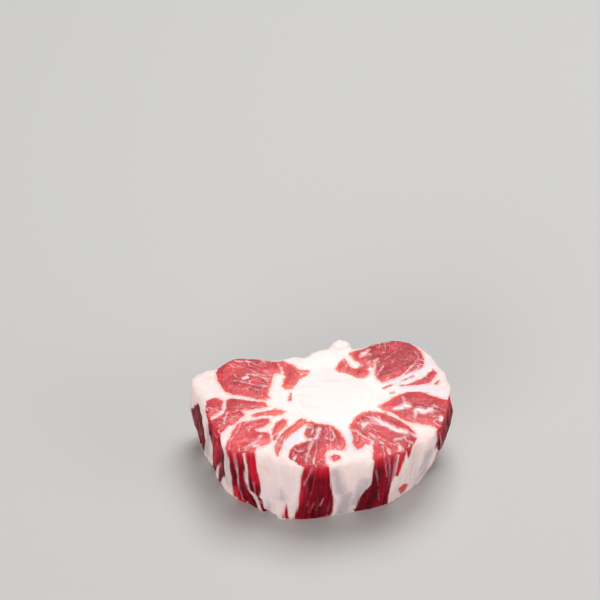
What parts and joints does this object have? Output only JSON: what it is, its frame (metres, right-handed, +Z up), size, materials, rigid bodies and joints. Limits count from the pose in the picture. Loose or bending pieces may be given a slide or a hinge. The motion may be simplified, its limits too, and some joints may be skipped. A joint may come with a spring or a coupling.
{
  "type": "raw oxtail slice",
  "caption": "Thick crosscut slice of raw oxtail: a round vertebra in the middle, red muscles round it between seams of white fat.",
  "frame": {"origin": "middle of the underside, the sawn face that the slice lies on", "axes": "+Z up along the tail's axis, +X across the slice's width, +Y from its front to its back"},
  "size_m": [0.1112, 0.0718, 0.0398],
  "materials": {
    "lean": "moist raw beef muscle, red with fine pale marbling",
    "fat": "firm white beef fat and connective tissue, faintly pink",
    "bone": "sawn cartilage and bone, off white"
  },
  "bodies": {
    "root": {"vertebra": "bone", "fat": "fat", "lean_back_left": "lean", "lean_back_left_inner": "lean", "lean_left": "lean", "lean_left_edge": "lean", "lean_left_strand": "lean", "lean_front_left": "lean", "lean_front_left_wedge": "lean", "lean_front_crescent": "lean", "lean_front_centre": "lean", "lean_front_island": "lean", "lean_front_right": "lean", "lean_right": "lean", "lean_right_strip": "lean", "lean_back_right": "lean", "lean_back_right_inner": "lean"}
  },
  "joints": []
}
